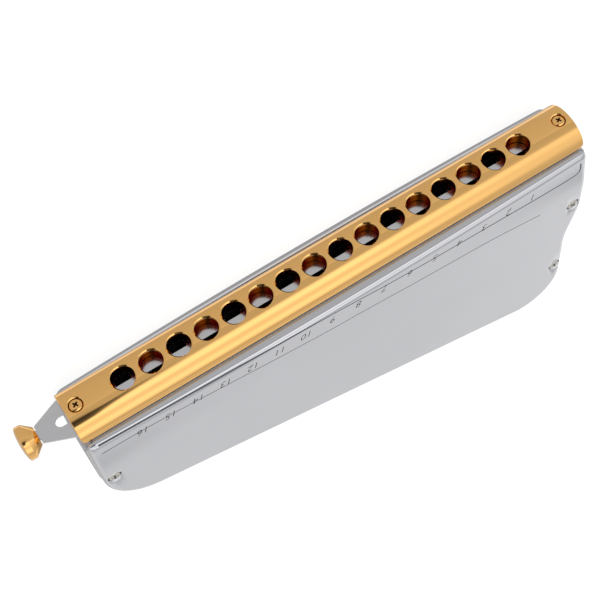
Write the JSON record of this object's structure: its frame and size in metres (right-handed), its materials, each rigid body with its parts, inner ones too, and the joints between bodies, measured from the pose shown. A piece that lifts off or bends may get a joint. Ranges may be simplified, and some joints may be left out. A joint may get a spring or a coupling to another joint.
{
  "type": "chromatic harmonica",
  "caption": "Chromatic harmonica with a wing-shaped body, a round-holed plated mouthpiece and a sprung side button that shifts its slide.",
  "frame": {"origin": "on the flat face of the bottom cover that the instrument lies on, 45 mm behind the front line of the mouthpiece and midway between its ends", "axes": "+X runs along the mouthpiece to the button, +Y from the mouthpiece back to the covers, +Z from the bottom cover up to the top cover"},
  "size_m": [0.1977, 0.0919, 0.026],
  "materials": {
    "gold_plate": "polished gold plating on brass",
    "cover_chrome": "polished chrome plating",
    "comb_plastic": "silver-grey moulded plastic with a satin gloss",
    "slide_steel": "fine-ground stainless steel",
    "reed_brass": "rolled brass sheet",
    "fastener_steel": "nickel-plated steel"
  },
  "bodies": {
    "instrument": {"bottom_cover": "cover_chrome", "comb": "comb_plastic", "cover_nut_1": "fastener_steel", "cover_nut_2": "fastener_steel", "cover_nut_3": "fastener_steel", "cover_screw_1": "fastener_steel", "cover_screw_2": "fastener_steel", "cover_screw_3": "fastener_steel", "lower_reed_plate": "reed_brass", "lower_reed_plate_screw_1": "fastener_steel", "lower_reed_plate_screw_2": "fastener_steel", "lower_reed_plate_screw_3": "fastener_steel", "lower_reed_plate_screw_4": "fastener_steel", "lower_reed_plate_screw_5": "fastener_steel", "lower_reed_plate_screw_6": "fastener_steel", "mouthpiece": "gold_plate", "mouthpiece_screw_left": "gold_plate", "mouthpiece_screw_right": "gold_plate", "slide_back_plate": "slide_steel", "slide_spring": "fastener_steel", "spring_pin": "fastener_steel", "top_cover": "cover_chrome", "upper_reed_plate": "reed_brass", "upper_reed_plate_screw_1": "fastener_steel", "upper_reed_plate_screw_2": "fastener_steel", "upper_reed_plate_screw_3": "fastener_steel", "upper_reed_plate_screw_4": "fastener_steel", "upper_reed_plate_screw_5": "fastener_steel", "upper_reed_plate_screw_6": "fastener_steel"},
    "slide_and_button": {"slide": "slide_steel", "slide_button": "gold_plate"}
  },
  "joints": [
    {"name": "slide_press", "type": "slide", "parent": "instrument", "child": "slide_and_button", "axis": [-1, 0, 0], "range_m": [0, 0.0062], "stiffness_N_per_m": 300, "springref_m": -0.006, "deforming": ["slide_spring"]}
  ]
}
